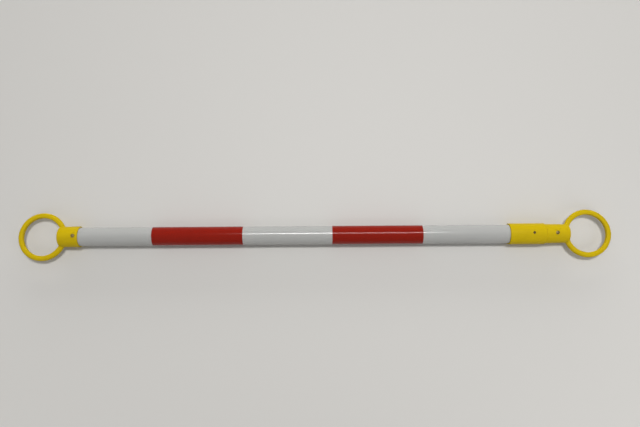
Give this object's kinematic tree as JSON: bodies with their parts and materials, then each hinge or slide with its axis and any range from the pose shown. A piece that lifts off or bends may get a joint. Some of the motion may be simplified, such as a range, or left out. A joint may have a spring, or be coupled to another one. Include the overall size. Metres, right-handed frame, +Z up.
{
  "type": "retractable cone bar",
  "caption": "Telescopic plastic bar with red and white bands and a yellow ring at each end, for linking road cones. The inner tube slides out and turns in the outer tube.",
  "frame": {"origin": "middle of the closed bar, on the surface that it lies on", "axes": "+X along the bar from the fixed ring to the sliding ring, +Z up, square to both rings, +Y across the rings"},
  "size_m": [1.252, 0.102, 0.0459],
  "materials": {
    "white_pvc": "extruded, glossy",
    "red_film": "self-adhesive film, glossy",
    "yellow_plastic": "moulded, satin",
    "zinc_steel": "zinc plated",
    "black_steel": "black, dull",
    "natural_nylon": "moulded, dull"
  },
  "bodies": {
    "outer": {"outer_tube": "white_pvc", "outer_red_band_1": "red_film", "outer_red_band_2": "red_film", "fixed_ring_end": "yellow_plastic", "fixed_ring_screw": "zinc_steel", "guide_collar": "yellow_plastic", "collar_screw": "black_steel"},
    "guide": {"guide_bush": "natural_nylon"},
    "inner": {"inner_tube": "white_pvc", "inner_red_band_1": "red_film", "inner_red_band_2": "red_film", "sliding_ring_end": "yellow_plastic", "sliding_ring_screw": "zinc_steel", "stop_ring": "white_pvc", "end_plug": "natural_nylon"}
  },
  "joints": [
    {"name": "extension", "type": "slide", "parent": "outer", "child": "guide", "axis": [1, 0, 0], "range_m": [0, 0.85]},
    {"name": "ring_swivel", "type": "hinge", "parent": "guide", "child": "inner", "pos_m": [0.5, 0, 0.0221], "axis": [1, 0, 0], "continuous": true}
  ]
}
